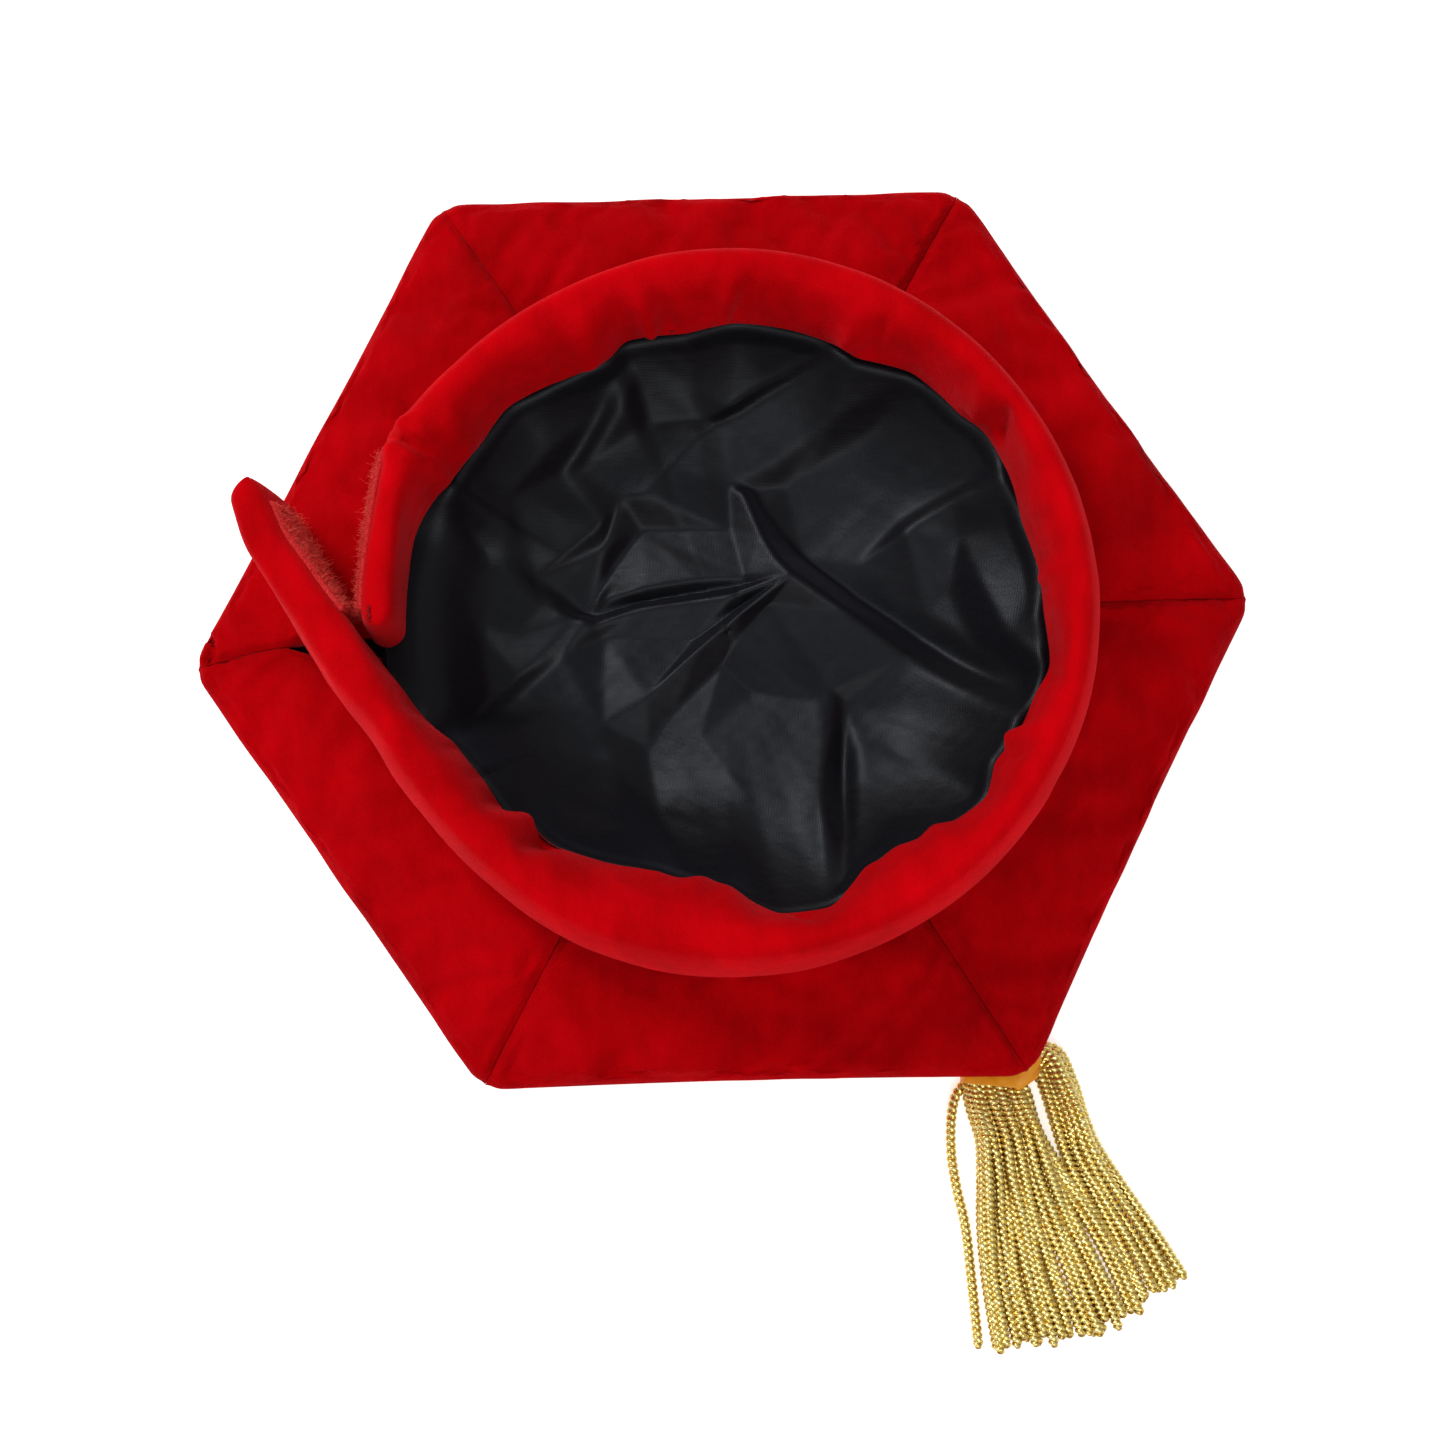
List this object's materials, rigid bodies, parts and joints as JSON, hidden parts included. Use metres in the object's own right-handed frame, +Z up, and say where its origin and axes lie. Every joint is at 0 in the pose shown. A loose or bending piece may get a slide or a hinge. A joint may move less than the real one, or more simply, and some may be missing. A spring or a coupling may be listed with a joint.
{
  "type": "doctoral tam",
  "caption": "Soft flat-crowned academic cap with a padded velvet headband, a hook-and-loop closure at the back, a black lining and a bullion tassel.",
  "frame": {"origin": "under the middle of the crown, on the surface that the upturned crown rests on", "axes": "+Z up out of the head opening; +X from the corner at the closure to the opposite corner; +Y to the side away from the tassel"},
  "size_m": [0.2888, 0.3281, 0.062],
  "materials": {
    "velvet": "cotton velvet with a short soft nap",
    "lining": "crisp black taffeta with a low sheen",
    "foam": "matt padding",
    "board": "stiff buckram",
    "loop_tape": "fuzzy loop pile",
    "hook_tape": "short stiff hooks",
    "thread": "twisted sewing thread",
    "satin": "glossy satin ribbon",
    "bullion": "metallic gold thread wound on a core and twisted"
  },
  "bodies": {
    "tam": {"crown_top_panel_1": "velvet", "crown_top_panel_2": "velvet", "crown_top_panel_3": "velvet", "crown_top_panel_4": "velvet", "crown_top_panel_5": "velvet", "crown_top_panel_6": "velvet", "underside_panel_1": "velvet", "underside_panel_2": "velvet", "underside_panel_3": "velvet", "underside_panel_4": "velvet", "underside_panel_5": "velvet", "underside_panel_6": "velvet", "crown_button": "velvet", "headband_cover": "velvet", "underside_interlining_1": "foam", "underside_interlining_2": "foam", "underside_interlining_3": "foam", "underside_interlining_4": "foam", "underside_interlining_5": "foam", "underside_interlining_6": "foam", "headband_foam": "foam", "crown_stiffener": "board", "lining_tip": "lining", "lining_side": "lining", "crown_button_shank": "thread", "tassel_hanger_cord": "satin"},
    "closure_strap": {"closure_strap_cover": "velvet", "closure_strap_foam": "foam", "closure_loop_tape": "loop_tape"},
    "short_end": {"short_end_cover": "velvet", "short_end_foam": "foam", "short_end_hook_tape": "hook_tape", "short_end_bartack": "thread"},
    "tassel_head": {"tassel_knot": "satin", "tassel_ribbon_header": "satin", "tassel_neck": "bullion"},
    "tassel_skirt": {"tassel_strand_01": "bullion", "tassel_strand_02": "bullion", "tassel_strand_03": "bullion", "tassel_strand_04": "bullion", "tassel_strand_05": "bullion", "tassel_strand_06": "bullion", "tassel_strand_07": "bullion", "tassel_strand_08": "bullion", "tassel_strand_09": "bullion", "tassel_strand_10": "bullion", "tassel_strand_11": "bullion", "tassel_strand_12": "bullion", "tassel_strand_13": "bullion", "tassel_strand_14": "bullion", "tassel_strand_15": "bullion", "tassel_strand_16": "bullion", "tassel_strand_17": "bullion", "tassel_strand_18": "bullion", "tassel_strand_19": "bullion", "tassel_strand_20": "bullion"}
  },
  "joints": [
    {"name": "closure_strap_swing", "type": "hinge", "parent": "tam", "child": "closure_strap", "pos_m": [-0.1, -0.0155, 0.045], "axis": [0, 0, 1], "range_deg": [-22, 20]},
    {"name": "short_end_swing", "type": "hinge", "parent": "tam", "child": "short_end", "pos_m": [-0.084, 0.0485, 0.045], "axis": [0, 0, 1], "range_deg": [-4.8, 5.28]},
    {"name": "tassel_sweep", "type": "hinge", "parent": "tam", "child": "tassel_head", "pos_m": [0.0685, -0.1186, 0.002], "axis": [0, 0, 1], "range_deg": [-25, 25]},
    {"name": "tassel_lift", "type": "hinge", "parent": "tassel_head", "child": "tassel_skirt", "pos_m": [0.07144, -0.13075, 0.0085], "axis": [-0.972, -0.2351, 0], "range_deg": [0, 85]}
  ],
  "couplings": [
    {"joint": "short_end_swing", "follows": "closure_strap_swing", "ratio": -0.24}
  ]
}
